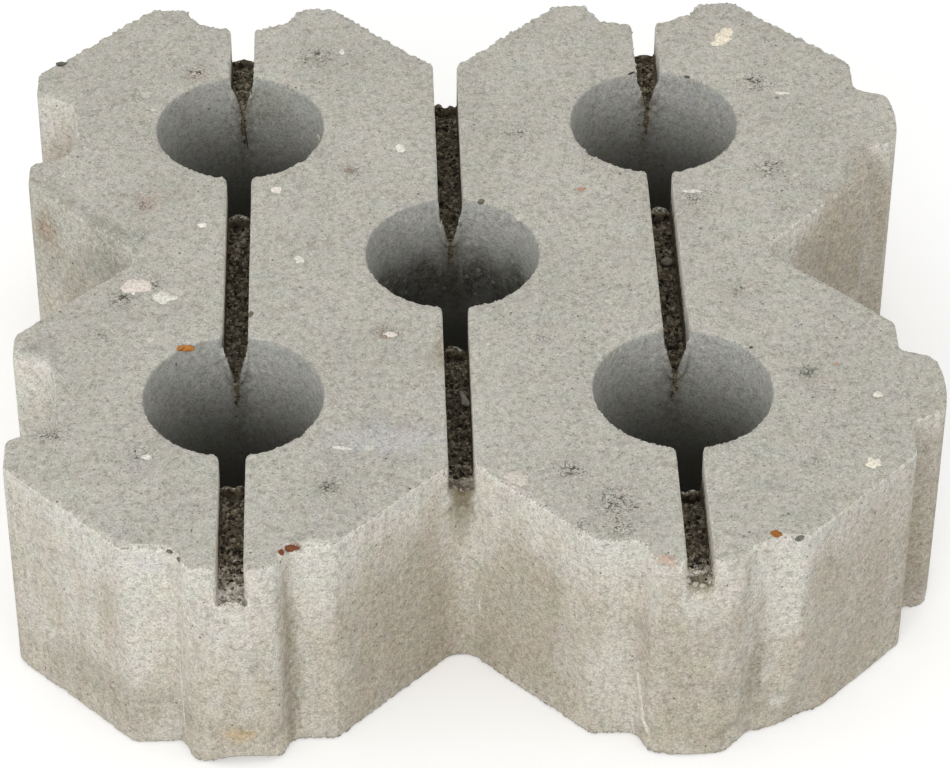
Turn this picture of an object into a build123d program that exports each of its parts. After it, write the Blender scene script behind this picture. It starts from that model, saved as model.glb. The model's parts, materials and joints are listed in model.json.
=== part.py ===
# A cast concrete paving stone for drained or grassed paving, two cells by two in one block.
# Five round holes run right through it, and slots in its top face join them up, so that the
# one stone looks like four and rain runs off to the holes. Noses on two of its sides
# interlock with the recesses on the other two sides of the next stones.
# Lengths are in millimetres. The origin is on the axis of the middle hole, in the base plane.
import os
from build123d import *

# Block
cell = 150                  # from hole to hole, nose to nose and slot to slot
cells = 2                   # along each side
height = 88
hole_diameter = 60
arris_radius = 4            # upright corners of the outline that meet a flat side

# Noses, and the recesses that the next stones' noses fit
nose_width = 37             # at the root
nose_tip_width = 29
nose_crown = 2              # how far the curved tip bulges
nose_tip_radius = 5
side_nose_reach = 13.5      # noses on the +X side
front_nose_reach = 11       # noses on the -Y side
joint_gap = 2               # round a nose in its recess

# Flat stretches of each side
notch_flat = 14.5           # from a nose to the notch in the middle of the side
corner_flat = 16.5          # from a nose to the cut corner
notch_root_radius = 8

# Slots in the top face
slot_width = 8.5
slot_depth = 20             # between holes, and from the middle hole to the notches
end_slot_depth = 15         # from an outer hole through a nose or a recess
slot_mouth_radius = 2.5

# What follows from them
pitch = cells * cell        # from flat to flat, the spacing at which the stones are laid
half_pitch = pitch / 2
half_cell = cell / 2
notch_depth = half_cell - nose_width / 2 - notch_flat
corner_cut = half_pitch - half_cell - nose_width / 2 - corner_flat
top = Plane.XY.offset(height)
on_line = 0.01              # how near a vertex counts as on a line


def nose_plan(reach, clearance):
    """Plan of a nose that points along +X, its root on the Y axis, grown by a clearance all round."""
    shoulder = (reach - nose_crown, nose_tip_width / 2)
    flare = (nose_width - nose_tip_width) / 2 / shoulder[0]
    with BuildSketch() as plan:
        with BuildLine():
            tip = ThreePointArc((shoulder[0], -shoulder[1]), (reach, 0), shoulder)
            # The flanks run on behind the root, into the stone that the nose is part of
            back = (-reach, nose_width / 2 + flare * reach)
            Polyline(tip @ 1, back, (back[0], -back[1]), tip @ 0)
        make_face()
        fillet(plan.vertices().sort_by(Axis.X)[-2:], radius=nose_tip_radius)
        if clearance > 0:
            offset(amount=clearance)
    return plan.sketch


side_nose = nose_plan(side_nose_reach, 0)
front_nose = nose_plan(front_nose_reach, 0)
side_recess = nose_plan(side_nose_reach, joint_gap)
back_recess = nose_plan(front_nose_reach, joint_gap)

with BuildPart() as paving_stone:
    # Outline: a square with its corners cut off and a square V notch in the middle of each side
    with BuildSketch() as outline:
        Rectangle(pitch, pitch)
        chamfer(outline.vertices(), length=corner_cut)
        with PolarLocations(half_pitch, 4):
            Rectangle(notch_depth * 2 ** 0.5, notch_depth * 2 ** 0.5, rotation=45, mode=Mode.SUBTRACT)
        notch_roots = outline.vertices().sort_by_distance((0, 0, 0))[:4]
        fillet(notch_roots, radius=notch_root_radius)
        # Noses on the +X and -Y sides
        with Locations((half_pitch, half_cell), (half_pitch, -half_cell)):
            add(side_nose)
        with Locations((half_cell, -half_pitch), (-half_cell, -half_pitch)):
            add(front_nose, rotation=-90)
        # Recesses on the -X and +Y sides, each the next stone's nose and the joint round it
        with Locations((-half_pitch, half_cell), (-half_pitch, -half_cell)):
            add(side_recess, mode=Mode.SUBTRACT)
        with Locations((half_cell, half_pitch), (-half_cell, half_pitch)):
            add(back_recess, rotation=-90, mode=Mode.SUBTRACT)
        side_corners = outline.vertices().filter_by(
            lambda v: abs(abs(v.X) - half_pitch) < on_line or abs(abs(v.Y) - half_pitch) < on_line
        )
        fillet(side_corners, radius=arris_radius)
    extrude(amount=height)

    # Holes: one in the middle, and one in the middle of each cell
    with Locations(top):
        with Locations((0, 0)):
            Hole(hole_diameter / 2)
        with GridLocations(cell, cell, cells, cells):
            Hole(hole_diameter / 2)

    # Deep slots: through the middle hole from notch to notch, and between the outer holes
    with BuildSketch(top):
        Rectangle(slot_width, pitch)
        with GridLocations(cell, 0, cells, 1):
            Rectangle(slot_width, cell)
    extrude(amount=-slot_depth, mode=Mode.SUBTRACT)

    # Shallow slots: from the outer holes out through the noses and the recesses
    with BuildSketch(top):
        with GridLocations(cell, 0, cells, 1):
            Rectangle(slot_width, pitch + 2 * front_nose_reach + joint_gap)
    extrude(amount=-end_slot_depth, mode=Mode.SUBTRACT)

    # The slots' upright corners are rounded where they open into a hole or out of the stone
    slot_mouths = paving_stone.edges().filter_by(Axis.Z).filter_by(
        lambda e: e.length < height - on_line and e.bounding_box().max.Z > height - on_line
    )
    fillet(slot_mouths, radius=slot_mouth_radius)

paving_stone.part.label = "paving_stone"

os.makedirs("parts", exist_ok=True)
export_step(paving_stone.part, "parts/paving_stone.step")

size = paving_stone.part.bounding_box().size
print(f"paving stone {size.X:.1f} x {size.Y:.1f} x {size.Z:.1f} mm, laid at {pitch} mm")
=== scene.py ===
# %% [markdown]
# # A cast concrete paving stone
# The stone is one block of dry-cast concrete, pressed and shaken in a steel mould, and stored
# outdoors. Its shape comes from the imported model. What is made here is what the mould and the
# weather leave on it: crumbled arrises, pits, broken slot floors, bare stones, drag marks, stains.

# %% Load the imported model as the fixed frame
import json
import math
import random
import bmesh
import bpy
import numpy as np
from mathutils import Matrix, Vector, kdtree, noise


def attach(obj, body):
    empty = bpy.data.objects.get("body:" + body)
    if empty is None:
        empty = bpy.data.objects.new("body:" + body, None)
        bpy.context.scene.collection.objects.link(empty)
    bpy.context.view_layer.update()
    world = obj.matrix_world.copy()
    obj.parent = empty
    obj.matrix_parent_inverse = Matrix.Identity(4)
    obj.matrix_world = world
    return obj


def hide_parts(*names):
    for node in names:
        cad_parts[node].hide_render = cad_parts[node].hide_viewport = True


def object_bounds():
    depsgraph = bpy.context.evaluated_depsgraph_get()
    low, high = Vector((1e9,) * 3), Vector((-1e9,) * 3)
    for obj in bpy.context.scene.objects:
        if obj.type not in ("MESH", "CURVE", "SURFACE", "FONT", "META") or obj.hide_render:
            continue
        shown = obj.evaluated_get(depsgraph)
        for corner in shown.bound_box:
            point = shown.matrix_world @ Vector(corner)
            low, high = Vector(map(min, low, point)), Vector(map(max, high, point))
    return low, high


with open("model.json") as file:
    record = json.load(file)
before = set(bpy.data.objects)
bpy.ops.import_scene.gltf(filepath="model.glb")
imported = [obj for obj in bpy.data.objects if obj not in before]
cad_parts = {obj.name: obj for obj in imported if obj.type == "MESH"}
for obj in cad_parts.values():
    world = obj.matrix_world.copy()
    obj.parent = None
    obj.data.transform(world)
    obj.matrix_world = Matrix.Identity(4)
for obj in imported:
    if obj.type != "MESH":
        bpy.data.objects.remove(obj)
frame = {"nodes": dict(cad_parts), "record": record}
cad_low, cad_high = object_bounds()
packed = frame["nodes"]["paving_stone"]
print("frame box", [round(v, 4) for v in cad_low], [round(v, 4) for v in cad_high])

# %% [markdown]
# The frame is in metres, but grain, pits and chips are thought of in millimetres, so one name
# turns them into metres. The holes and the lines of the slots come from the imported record.

# %% Real sizes
mm = 0.001
top_z = cad_high.z
bores = [m for m in frame["record"]["mounts"] if m["kind"] == "bore"]
hole_centres = [Vector(m["pos_m"]) for m in bores]
hole_radius = bores[0]["dims"]["r_mm"] * mm
slot_lines = sorted({round(c.x, 4) for c in hole_centres})
print(len(hole_centres), "holes of radius", hole_radius, "and slots at x =", slot_lines)

# %% [markdown]
# ## The camera comes first
# The photograph looks down on the stone from the front through a long lens, turned by a few
# degrees. Its angles and distance are named here. With the camera in place, a ray through a pixel
# tells which spot of the block that pixel shows, so every stain and pebble below is placed by the
# pixel where it is seen, and still sits on the solid.

# %% Put an object in the scene


def placed(name, data):
    """A new object in the scene."""
    thing = bpy.data.objects.new(name, data)
    bpy.context.scene.collection.objects.link(thing)
    return thing


# %% Camera at the photograph's angle
photo_width, photo_height = 950, 768
sensor = 36
lens = 149.4
view_elevation = math.radians(40.26)
view_azimuth = math.radians(-1.97)
view_roll = math.radians(0.35)
view_distance = 1.3182
aim = Vector((0.0056, -0.0717, top_z))

back = Vector((math.sin(view_azimuth) * math.cos(view_elevation),
               -math.cos(view_azimuth) * math.cos(view_elevation),
               math.sin(view_elevation)))
level = Vector((math.cos(view_azimuth), math.sin(view_azimuth), 0))
upward = back.cross(level)
across = math.cos(view_roll) * level + math.sin(view_roll) * upward
upward = math.cos(view_roll) * upward - math.sin(view_roll) * level
eye = aim + back * view_distance

camera_data = bpy.data.cameras.new("camera")
camera_data.sensor_width = sensor
camera_data.lens = lens
camera_data.clip_start = 0.01
camera = placed("camera", camera_data)
camera.matrix_world = Matrix.Translation(eye) @ Matrix((across, upward, back)).transposed().to_4x4()
bpy.context.scene.camera = camera
print("the camera stands at", [round(v, 3) for v in eye])

# %% From a pixel to a place on the block


def seen_at(pixel):
    """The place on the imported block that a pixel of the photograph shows, and its normal."""
    right = (pixel[0] - photo_width / 2) * sensor / lens / photo_width
    high = (photo_height / 2 - pixel[1]) * sensor / lens / photo_width
    hit, place, normal = packed.ray_cast(eye, across * right + upward * high - back)[:3]
    if not hit:
        raise ValueError(f"pixel {pixel} looks past the block")
    return place, normal


print("the middle of the photograph shows", [round(v, 4) for v in seen_at((475, 384))[0]])

# %% [markdown]
# ## The block itself
# The real stone left its mould with sharp arrises, and they crumbled as it was stacked and moved.
# A bevel would look machined. As in sculpting, a copy of the block is remeshed into small cells of
# one size, every vertex is then pushed in by the wear that its place had, and at the end the mesh
# is decimated, which keeps triangles where the shape needs them. The copy is merged first.

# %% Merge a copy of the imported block
merged = bmesh.new()
merged.from_mesh(packed.data)
bmesh.ops.remove_doubles(merged, verts=merged.verts, dist=0.01 * mm)
bmesh.ops.dissolve_limit(merged, angle_limit=math.radians(0.5), verts=merged.verts, edges=merged.edges)
print("the packed block has", len(merged.faces), "whole faces")

# %% [markdown]
# An arris is the edge where two faces meet. Each is kept as a row of samples in a k-d tree, one
# tree for each kind, so that a vertex can ask how far it is from the walking face's edge, from the
# broken end of a slot or from the base's edge.

# %% Where the arrises are
sharp = math.radians(25)
sample_step = 0.3 * mm
arris_samples = {"top": [], "slot end": [], "base": []}
for edge in merged.edges:
    if edge.calc_face_angle_signed(0) > sharp:
        start, end = (v.co for v in edge.verts)
        if min(start.z, end.z) > top_z - 0.1 * mm:
            kind = "top"
        elif max(start.z, end.z) < 0.1 * mm:
            kind = "base"
        else:
            kind = "slot end"
        steps = max(1, math.ceil((end - start).length / sample_step))
        arris_samples[kind] += [start.lerp(end, (i + 0.5) / steps) for i in range(steps)]

arris_trees = {}
for kind, samples in arris_samples.items():
    arris_trees[kind] = kdtree.KDTree(len(samples))
    for i, sample in enumerate(samples):
        arris_trees[kind].insert(sample, i)
    arris_trees[kind].balance()
    print(kind, "arrises have", len(samples), "samples")

# %% [markdown]
# A voxel remesh lays the whole surface anew in cells of one size. They are well under the size of
# the grains of grit that are to break out of it, so that each lost grain can leave its hollow.

# %% Remesh the copy into small cells
grain_cell = 0.66 * mm


def settled_mesh(draft):
    """Makes the mesh that an object's modifiers show its own, and gives it back."""
    graph = bpy.context.evaluated_depsgraph_get()
    mesh = bpy.data.meshes.new_from_object(draft.evaluated_get(graph), depsgraph=graph)
    draft.modifiers.clear()
    draft.data = mesh
    return mesh


def remeshed(draft, cell):
    """The object's mesh, made anew of cells of one size."""
    remesh = draft.modifiers.new("cells", "REMESH")
    remesh.mode = "VOXEL"
    remesh.voxel_size = cell
    return settled_mesh(draft)


block_mesh = bpy.data.meshes.new("cast_stone")
merged.to_mesh(block_mesh)
merged.free()
cast_stone = placed("cast_stone", block_mesh)
block_mesh = remeshed(cast_stone, grain_cell)
print("remeshed to", len(block_mesh.vertices), "vertices")

# %% [markdown]
# Wear is worked out for all vertices at once, as arrays. The noise functions of mathutils answer
# for one point at a time, so two short helpers ask them for many. Perlin noise makes soft swells.
# The distance to the nearest of many scattered points makes rounded grains with cracks between.

# %% Helpers that ask for noise at many points


def rows_of(mesh, name):
    """The places or the normals of a mesh's vertices, as an array of rows."""
    rows = np.empty(len(mesh.vertices) * 3, np.float32)
    mesh.vertices.foreach_get(name, rows)
    return rows.reshape(-1, 3).astype(float)


def move_to(mesh, places):
    """Puts a mesh's vertices at these places."""
    mesh.vertices.foreach_set("co", places.astype(np.float32).ravel())
    mesh.update()


def swells(points, size, seed, stretch=1):
    """Soft noise from -1 to 1, with lumps of this size. stretch draws them out upright."""
    scaled = points / (size, size, size * stretch) + seed * 17.3
    return np.array([noise.noise(p) for p in scaled.tolist()])


def cracks(points, size, seed):
    """0 on top of rounded grains of this size, rising to 1 in the cracks between them."""
    scaled = points / size + seed * 17.3
    nearest = np.array([noise.voronoi(p)[0][0] for p in scaled.tolist()])
    return np.clip(nearest / 0.75, 0, 1) ** 2


def distances(points, kind):
    """How far each point is from the nearest arris of a kind."""
    tree = arris_trees[kind]
    return np.array([tree.find(p)[2] for p in points.tolist()])


def far_from(points, centre, widths=1):
    """How far each point is from a centre, as so many of the widths given."""
    return np.linalg.norm((points - np.array(centre)) / widths, axis=1)


def near(distance, reach):
    """1 at no distance, fading softly to nothing past the reach."""
    return np.exp(-((distance / reach) ** 2))


def ramp(values, start, end):
    """0 up to start, 1 from end on, with a smooth rise between. start may be the larger."""
    t = np.clip((values - start) / (end - start), 0, 1)
    return t * t * (3 - 2 * t)


def from_slots(points):
    """How far each point is from the middle of the nearest slot."""
    return np.min([np.abs(points[:, 0] - x) for x in slot_lines], axis=0)


def from_holes(points):
    """How far each point is from the axis of the nearest hole, and how far behind that axis."""
    reaches = np.array([np.hypot(points[:, 0] - c.x, points[:, 1] - c.y) for c in hole_centres])
    behind = points[:, 1] - np.array([c.y for c in hole_centres])[np.argmin(reaches, axis=0)]
    return reaches.min(axis=0), behind


# %% [markdown]
# A slot opens out of the stone at both its ends. Rays along it, low enough to pass under its
# floor, find where.

# %% Where the slots open out of the stone
slot_ends = {}
for x in slot_lines:
    front = packed.ray_cast(Vector((x, cad_low.y - 10 * mm, top_z / 4)), Vector((0, 1, 0)))[1].y
    rear = packed.ray_cast(Vector((x, cad_high.y + 10 * mm, top_z / 4)), Vector((0, -1, 0)))[1].y
    slot_ends[x] = (front, rear)
print("slot ends", {x: [round(y, 4) for y in ends] for x, ends in slot_ends.items()})


def from_open_end(points):
    """How far along its slot each point is from the place where the slot leaves the stone."""
    nearest = np.argmin([np.abs(points[:, 0] - x) for x in slot_lines], axis=0)
    ends = np.array([slot_ends[x] for x in slot_lines])[nearest]
    return np.minimum(points[:, 1] - ends[:, 0], ends[:, 1] - points[:, 1])


# %% [markdown]
# Where a slot comes into a hole from behind, the photograph shows no square mouth. The mix slumped
# in from both sides when the core was pulled, so the mouth narrows downwards to a point.


# %% How far the mouths of the slots are filled from their sides
half_slot = 4.25 * mm


def slumped(points):
    """0 in a clear slot, 1 where its mouth is full up to the walking face."""
    reach, behind = from_holes(points)
    at_mouth = ramp(reach - hole_radius, 15 * mm, 2 * mm) * (behind > 20 * mm)
    return at_mouth * np.clip(from_slots(points) / half_slot, 0, 1) ** 1.6


# %% [markdown]
# The wear of each vertex is the sum of what happened where it lies, as a depth to push it in.
# Nearly all of it goes inwards, so the stone stays inside its true size.

# %% Crumbled arrises round the walking face and the base
places = rows_of(block_mesh, "co")
normals = rows_of(block_mesh, "normal")
wear = np.zeros(len(places))

arris_reach, coarse_grit, fine_grit = 5 * mm, 2.6 * mm, 1.6 * mm
close = np.flatnonzero(places[:, 2] > top_z - 6 * mm)
away = distances(places[close], "top")
close, away = close[away < arris_reach], away[away < arris_reach]
here = places[close]
coarse = cracks(here, coarse_grit, 1)
fine = cracks(here, fine_grit, 3)
back_edge = ramp(here[:, 1], 98 * mm, 118 * mm)
flank = ramp(np.abs(here[:, 0]), 114 * mm, 124 * mm) * (1 - back_edge)
reach, behind = from_holes(here)
far_rim = ramp(reach, hole_radius + 5 * mm, hole_radius + 4 * mm) * ramp(behind, -12 * mm, 4 * mm)
steel_blade = ramp(from_slots(here), 7 * mm, 5.5 * mm)
worse = np.clip(0.7 + 0.7 * swells(here, 16 * mm, 2), 0.35, 1.2)
worse = worse * (1 + 0.3 * back_edge) * (1 - 0.5 * flank) * (1 - 0.5 * steel_blade) * (1 - 0.8 * far_rim)
chipped = np.clip((swells(here, 9 * mm, 4) - 0.34) / 0.2, 0, 1) * (1 - far_rim)
wear[close] += near(away, 0.8 * mm) * worse * (0.05 + 1.2 * coarse + 0.6 * fine) * mm
wear[close] += near(away, 2.0 * mm) * back_edge * (1 - steel_blade) * (1 - far_rim) * 0.8 * coarse * mm
wear[close] += near(away, 1.6 * mm) * chipped * (0.2 + 1.0 * coarse) * (1 - 0.7 * steel_blade) * mm

base_grit = 3.1 * mm
close = np.flatnonzero(places[:, 2] < arris_reach)
here = places[close]
away = distances(here, "base")
coarse = cracks(here, base_grit, 5)
worse = np.clip(0.5 + 0.9 * swells(here, 16 * mm, 6), 0.2, 1.3)
wear[close] += near(away, 1.2 * mm) * worse * (0.05 + 1.0 * coarse) * mm

# %% [markdown]
# A slot has no skin of fines. Its floor is the open mix, as coarse as the grit in it, and where it
# ends at a hole or at the face its edge has crumbled away further than any other.

# %% The slots are as coarse as the mix inside the stone
slot_end_reach, floor_grit = 12 * mm, 2.7 * mm
close = np.flatnonzero((places[:, 2] > top_z - 30 * mm) & (places[:, 2] < top_z - 10 * mm))
away = distances(places[close], "slot end")
close, away = close[away < slot_end_reach], away[away < slot_end_reach]
here = places[close]
reach, behind = from_holes(here)
lumps = (1 + 0.5 * swells(here, 5 * mm, 7)) * ramp(from_slots(here), 4.2 * mm, 2.2 * mm)
lumps = lumps * np.where((reach < hole_radius + 12 * mm) & (behind > 0), 0.3, 1)
wear[close] += 2.4 * near(away, 4 * mm) * lumps * mm
middle_front = (np.abs(here[:, 0]) < 5 * mm) & (from_open_end(here) < slot_end_reach)
middle_front &= here[:, 1] < 0
wear[close] += 1.4 * near(away, 6 * mm) * middle_front * lumps * mm

looks_up = normals[:, 2] > 0.7
close = np.flatnonzero(looks_up & (places[:, 2] < top_z - 10 * mm) & (places[:, 2] > 10 * mm))
wear[close] += 1.5 * cracks(places[close], floor_grit, 8) * mm
wear[close] += 0.5 * (1 + swells(places[close], 6 * mm, 9)) * mm

# %% [markdown]
# The faces themselves are worn by a tenth or two of a millimetre. Noise that is drawn out upright
# leaves the faint drags of the mould on the sides.

# %% Sandy faces: level on top, drawn upright where steel slid along them
upright = np.abs(normals[:, 2]) < 0.5
wear[~upright] += 0.1 * (1.3 + swells(places[~upright], 30 * mm, 11)) * mm
wear[upright] += (0.03 + 0.03 * swells(places[upright], 3 * mm, 12, stretch=2)) * mm
wear[upright] += 0.08 * (1 + swells(places[upright], 22 * mm, 13, stretch=3)) * mm

# %% [markdown]
# Some hollows are this stone's own, and are placed by the pixel where the photograph shows them:
# clusters of pits in the walking face, chips in its sides, corners that are worn or filled as a
# whole, and the shallow beds in which bare stones lie. Each has a reach, and most have a depth.

# %% Pits and chips seen in the photograph
pit_clusters = {
    "behind the back left hole": ((196, 72), 6),
    "back left corner": ((99, 166), 3),
    "back middle": ((316, 57), 8),
    "left recess": ((145, 204), 5),
    "below the back left hole": ((317, 197), 3),
    "beside the pink pebble": ((122, 296), 6),
    "right of the pink pebble": ((155, 282), 5),
    "left of the middle hole": ((353, 170), 5),
    "top of the right half": ((516, 133), 5),
    "right of the back right hole": ((755, 81), 7),
    "below it": ((771, 167), 7),
    "right arm": ((694, 197), 6),
    "over the right notch": ((786, 208), 4),
    "left arm": ((103, 335), 4),
    "left nose": ((48, 435), 6),
    "over the front left hole": ((118, 302), 5),
    "front left": ((328, 485), 6),
    "left of the middle slot": ((393, 332), 4),
    "right of the middle slot": ((541, 338), 4),
    "front of the right half": ((570, 469), 6),
    "front right arris": ((615, 502), 9),
    "over the front right hole": ((752, 347), 3),
    "blue black": ((808, 371), 5),
    "over the slot": ((737, 292), 4),
    "low right": ((817, 461), 4),
    "front notch": ((584, 524), 5),
    "near the front right slot": ((621, 526), 6),
    "left front face": ((140, 453), 5),
    "back left stone": ((139, 95), 5),
}
chips = {
    "front left nose": ((174, 555), 2.2, 1.6),
    "on the right flat": ((797, 645), 2.0, 0.9),
    "right of the notch": ((514, 643), 1.2, 0.8),
    "low on the right": ((583, 708), 1.4, 0.8),
    "under the right nose": ((919, 598), 4.0, 3.4),
    "left foot of the right nose": ((648, 737), 4.0, 2.2),
    "right foot of the right nose": ((731, 736), 4.0, 2.2),
    "right foot of the left nose": ((281, 742), 4.0, 2.2),
    "by the orange stone": ((802, 534), 1.8, 0.9),
    "back left edge": ((59, 62), 1.6, 1.2),
    "left end of the right arris": ((577, 520), 1.3, 1.2),
    "beside it": ((578, 533), 1.1, 1.0),
    "under the cluster": ((620, 532), 1.6, 1.2),
    "back hole wall": ((719, 120), 1.2, 0.7),
}

# %% Corners worn back or filled as a whole
# Each has a pixel, the way it faces in plan, its reach across and upright, and its depth.
worn_corners = {
    "right end of the back right recess": ((698, 10), (-0.7, 0.7, 0), 4, 8, 1.4),
    "its inner corner": ((688, 24), (0.4, -0.9, 0), 6, 12, 4.0),
    "inner corner of the back left recess": ((199, 31), (-0.4, -0.9, 0), 5, 10, 2.6),
    "its other inner corner": ((282, 31), (0.4, -0.9, 0), 5, 10, 2.2),
    "foot right of the right nose": ((797, 727), (0.3, -0.95, 0), 9, 18, 4.5),
    "right foot of the right nose": ((735, 744), (0.7, -0.7, 0), 4, 8, 1.6),
    "root of the right nose": ((758, 590), (-0.85, 0.5, 0), 5, 55, 2.8),
}

# %% Bare stones and two dark slivers of painted shade, by the pixel of their middle, their width and length in millimetres and colour
bed_depth = 0.35 * mm
stones_and_shade_seen = {
    "cream, upper lobe": ((726, 31), 4.6, 7.6, "#f6ebd4"),
    "cream, middle": ((723, 36), 5.4, 5.6, "#f6ebd4"),
    "cream, lower lobe": ((718, 41.5), 6.0, 4.6, "#f6ecd6"),
    "orange": ((187, 346), 4.0, 2.4, "#c4813a"),
    "orange, left end": ((182, 349), 2.4, 2.4, "#b8783a"),
    "orange brown": ((776, 532), 4.6, 3.6, "#a66a30"),
    "dark grey chip": ((800, 536), 3.0, 1.8, "#77766c"),
    "faint orange": ((582, 188), 3.6, 2.2, "#c09880"),
    "dark olive": ((480, 203), 2.4, 1.8, "#77745f"),
    "pink pebble": ((137, 285), 9.6, 8.4, "#ebe0d5"),
    "pale pebble": ((164, 297), 9.6, 6.2, "#e9e6da"),
    "large pale stone": ((517, 477), 7.4, 10.0, "#d8d0c4"),
    "white 1": ((203, 224.5), 3.6, 3.6, "#f4f0e3"),
    "white 2": ((277, 189), 4.6, 3.8, "#f0e8dc"),
    "white 3": ((400, 147), 3.8, 5.4, "#efede3"),
    "white 4": ((342, 51), 2.6, 3.2, "#eae8dd"),
    "white 5": ((318, 138), 3.0, 2.8, "#eae2cf"),
    "white 6": ((300, 259), 4.2, 4.6, "#eeebe0"),
    "white 7": ((390, 333), 5.0, 3.0, "#e9e3d8"),
    "white 8": ((342, 447), 7.0, 1.8, "#e8e5da"),
    "white 9": ((147, 456), 5.0, 2.4, "#e6e3d8"),
    "cream on the right": ((874, 462), 5.6, 5.0, "#f5eedb"),
    "beside it": ((878, 393), 3.8, 3.4, "#eae5d6"),
    "white mark": ((782, 92), 6.0, 2.0, "#ebe8df"),
    "mark over the notch": ((693, 190), 7.0, 2.0, "#e6e3d8"),
    "tiny orange": ((837, 363), 1.2, 1.4, "#c79468"),
    "dark dot": ((751, 346.5), 1.3, 1.2, "#57534a"),
    "black sliver": ((632, 73.5), 2.4, 0.6, "#403c34"),
    "dark slip": ((687, 76), 1.8, 0.7, "#57534a"),
    # Painted shade: two dark slivers under the arris of the front left nose.
    "shade under the left nose arris": ((169, 553), 2.2, 1.4, "#77736a"),
    "beside that shade": ((177, 560), 2.4, 1.0, "#77736a"),
    "chip at the slot": ((251, 313), 1.8, 3.0, "#77745f"),
    "red brown, top": ((290, 546), 3.2, 2.2, "#80492f"),
    "red brown, side": ((284, 553), 1.6, 2.4, "#80492f"),
    "dark pebble at the back": ((61, 62), 3.0, 2.4, "#6b6c63"),
    "brown spot": ((351, 170), 2.2, 1.4, "#a08c78"),
    "left of the middle": ((384, 336), 2.4, 1.8, "#a39482"),
    "pinkish on the nose": ((666, 557), 3.6, 2.0, "#ceb7a3"),
    "white on the nose": ((324, 594), 2.6, 2.2, "#e3dfd2"),
    "white on the right nose": ((628, 596), 2.4, 2.6, "#e3dfd2"),
    "dull purple": ((777, 97), 1.8, 1.6, "#85828c"),
    "grey 1": ((147, 93), 5.4, 4.0, "#cfccc0"),
    "grey 2": ((153, 109), 2.2, 2.0, "#d3d0c4"),
    "grey 3": ((64, 175), 3.0, 2.6, "#cfcbbe"),
    "grey 4": ((371, 447), 4.0, 3.4, "#d3d0c4"),
    "grey 5": ((520, 215), 3.4, 3.0, "#cdcabe"),
    "grey 6": ((610, 300), 3.4, 3.0, "#cdcabe"),
    "grey 7": ((741, 74), 4.4, 4.0, "#cbc8bc"),
    "grey 8": ((795, 173), 2.6, 2.8, "#d0ccc0"),
    "grey 9": ((150, 338), 3.4, 3.0, "#d2cfc3"),
    "pebble in the middle slot": ((464, 400), 2.6, 6.0, "#b4b0a4"),
    "pebble in the right slot": ((667, 263), 3.6, 3.2, "#a39d8f"),
}


def around(points, centre, reach):
    """The rows of the points that lie within a reach of a centre."""
    return np.flatnonzero(far_from(points, centre) < reach)


for pixel, reach in pit_clusters.values():
    centre = seen_at(pixel)[0]
    close = around(places, centre, reach * mm)
    fade = near(far_from(places[close], centre), 0.6 * reach * mm)
    holes = np.clip((cracks(places[close], 1.9 * mm, 14) - 0.55) / 0.3, 0, 1)
    wear[close] += 1.1 * fade * holes * mm
for pixel, reach, deep in chips.values():
    centre = seen_at(pixel)[0]
    close = around(places, centre, 2.5 * reach * mm)
    wear[close] += near(far_from(places[close], centre), reach * mm) * deep * mm
for pixel, wide, long, colour in stones_and_shade_seen.values():
    centre = seen_at(pixel)[0]
    close = around(places, centre, 8 * mm)
    apart = far_from(places[close], centre, (wide * mm / 2, long * mm / 2, 2 * mm))
    wear[close] += bed_depth * ramp(apart, 1.6, 1.15)
print("wear goes from", round(wear.min() / mm, 2), "to", round(wear.max() / mm, 2), "mm")

# %% [markdown]
# Crumbled mix is heaped where two of the slots leave the stone in front, and the floor of one is
# washed out towards its hole. The mouths behind the holes are filled from their sides. What lies
# under the floor is stretched along with it. Corners that are worn as a whole come last.

# %% Heaps at the front ends of two slots, with their height and length


def within_slot(points, x):
    """1 in the slot on a line, fading to nothing in its walls."""
    return ramp(np.abs(points[:, 0] - x), 4.7 * mm, 4.0 * mm)


heaps = {0: (9 * mm, 17 * mm), 75 * mm: (8 * mm, 12 * mm)}
for x, (heap_height, heap_length) in heaps.items():
    in_slot = np.abs(places[:, 0] - x) < 5 * mm
    rows = np.flatnonzero(in_slot & (places[:, 2] > top_z - 32 * mm) & (places[:, 1] < 0))
    inside = within_slot(places[rows], x)
    end = from_open_end(places[rows])
    toward_end = ramp(end, heap_length, 0.3 * heap_length) * (0.6 + 0.4 * ramp(end, 0, 0.3 * heap_length))
    low_down = ramp(places[rows, 2], top_z - 31 * mm, top_z - 21 * mm) * (places[rows, 2] < top_z - 9 * mm)
    places[rows, 2] += heap_height * inside * toward_end * low_down

# %% The washed-out floor of the front right slot
washed_x, washed_depth = 75 * mm, 5.5 * mm
in_slot = np.abs(places[:, 0] - washed_x) < 5 * mm
rows = np.flatnonzero(in_slot & (places[:, 2] > top_z - 46 * mm) & (places[:, 1] < -100 * mm))
washed_out = within_slot(places[rows], washed_x)
washed_out *= ramp(from_holes(places[rows])[0] - hole_radius, 15 * mm, 3 * mm)
washed_out *= places[rows, 2] < top_z - 9 * mm
places[rows, 2] -= washed_depth * washed_out * ramp(places[rows, 2], top_z - 46 * mm, top_z - 22 * mm)

# %% Slumped mouths and worn corners
rows = np.flatnonzero((from_slots(places) < half_slot + 0.2 * mm) & (places[:, 2] > top_z - 46 * mm))
room = top_z - places[rows, 2]
places[rows, 2] += 0.92 * slumped(places[rows]) * room * ramp(room, 46 * mm, 24 * mm)
for pixel, faces, broad, tall, deep in worn_corners.values():
    apart = far_from(places, seen_at(pixel)[0], (broad * mm, broad * mm, tall * mm))
    places -= near(apart, 1)[:, None] * np.array(faces) * deep * mm
move_to(block_mesh, places)

# %% [markdown]
# The vertices are pushed in by many short steps along their normals, which are worked out anew
# each time. One long step would turn a crumbled arris inside out.

# %% Push the vertices in
steps = 10
for step in range(steps):
    normals = rows_of(block_mesh, "normal")
    places = rows_of(block_mesh, "co") - normals * (wear / steps)[:, None]
    move_to(block_mesh, places)

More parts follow.
